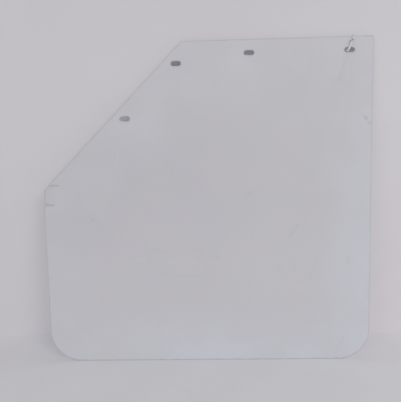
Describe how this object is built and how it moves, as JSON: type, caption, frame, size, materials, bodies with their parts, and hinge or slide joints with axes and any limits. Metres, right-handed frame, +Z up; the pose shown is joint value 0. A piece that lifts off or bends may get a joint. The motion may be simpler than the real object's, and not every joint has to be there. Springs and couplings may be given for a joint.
{
  "type": "mud flap",
  "caption": "Flat truck mud flap of thin pale plastic sheet with a cut upper corner, rounded lower corners, slots to bolt it up by, and a cable tie looped through the end slot.",
  "frame": {"origin": "on the sheet's front face, midway between the centres of the two upper slots", "axes": "+Z up as the flap hangs, +X right along the top edge away from the cut corner, -Y out of the front face"},
  "size_m": [0.6, 0.0153, 0.5912],
  "materials": {
    "sheet": "satin, milky white, lightly scuffed",
    "nylon": "natural nylon, moulded"
  },
  "bodies": {
    "flap": {"flap_panel": "sheet"},
    "tie": {"cable_tie": "nylon"}
  },
  "joints": [
    {"name": "tie_swing", "type": "hinge", "parent": "flap", "child": "tie", "pos_m": [0.08425, 0.0015, -0.00299], "axis": [0, -1, 0], "range_deg": [0, 44]}
  ]
}
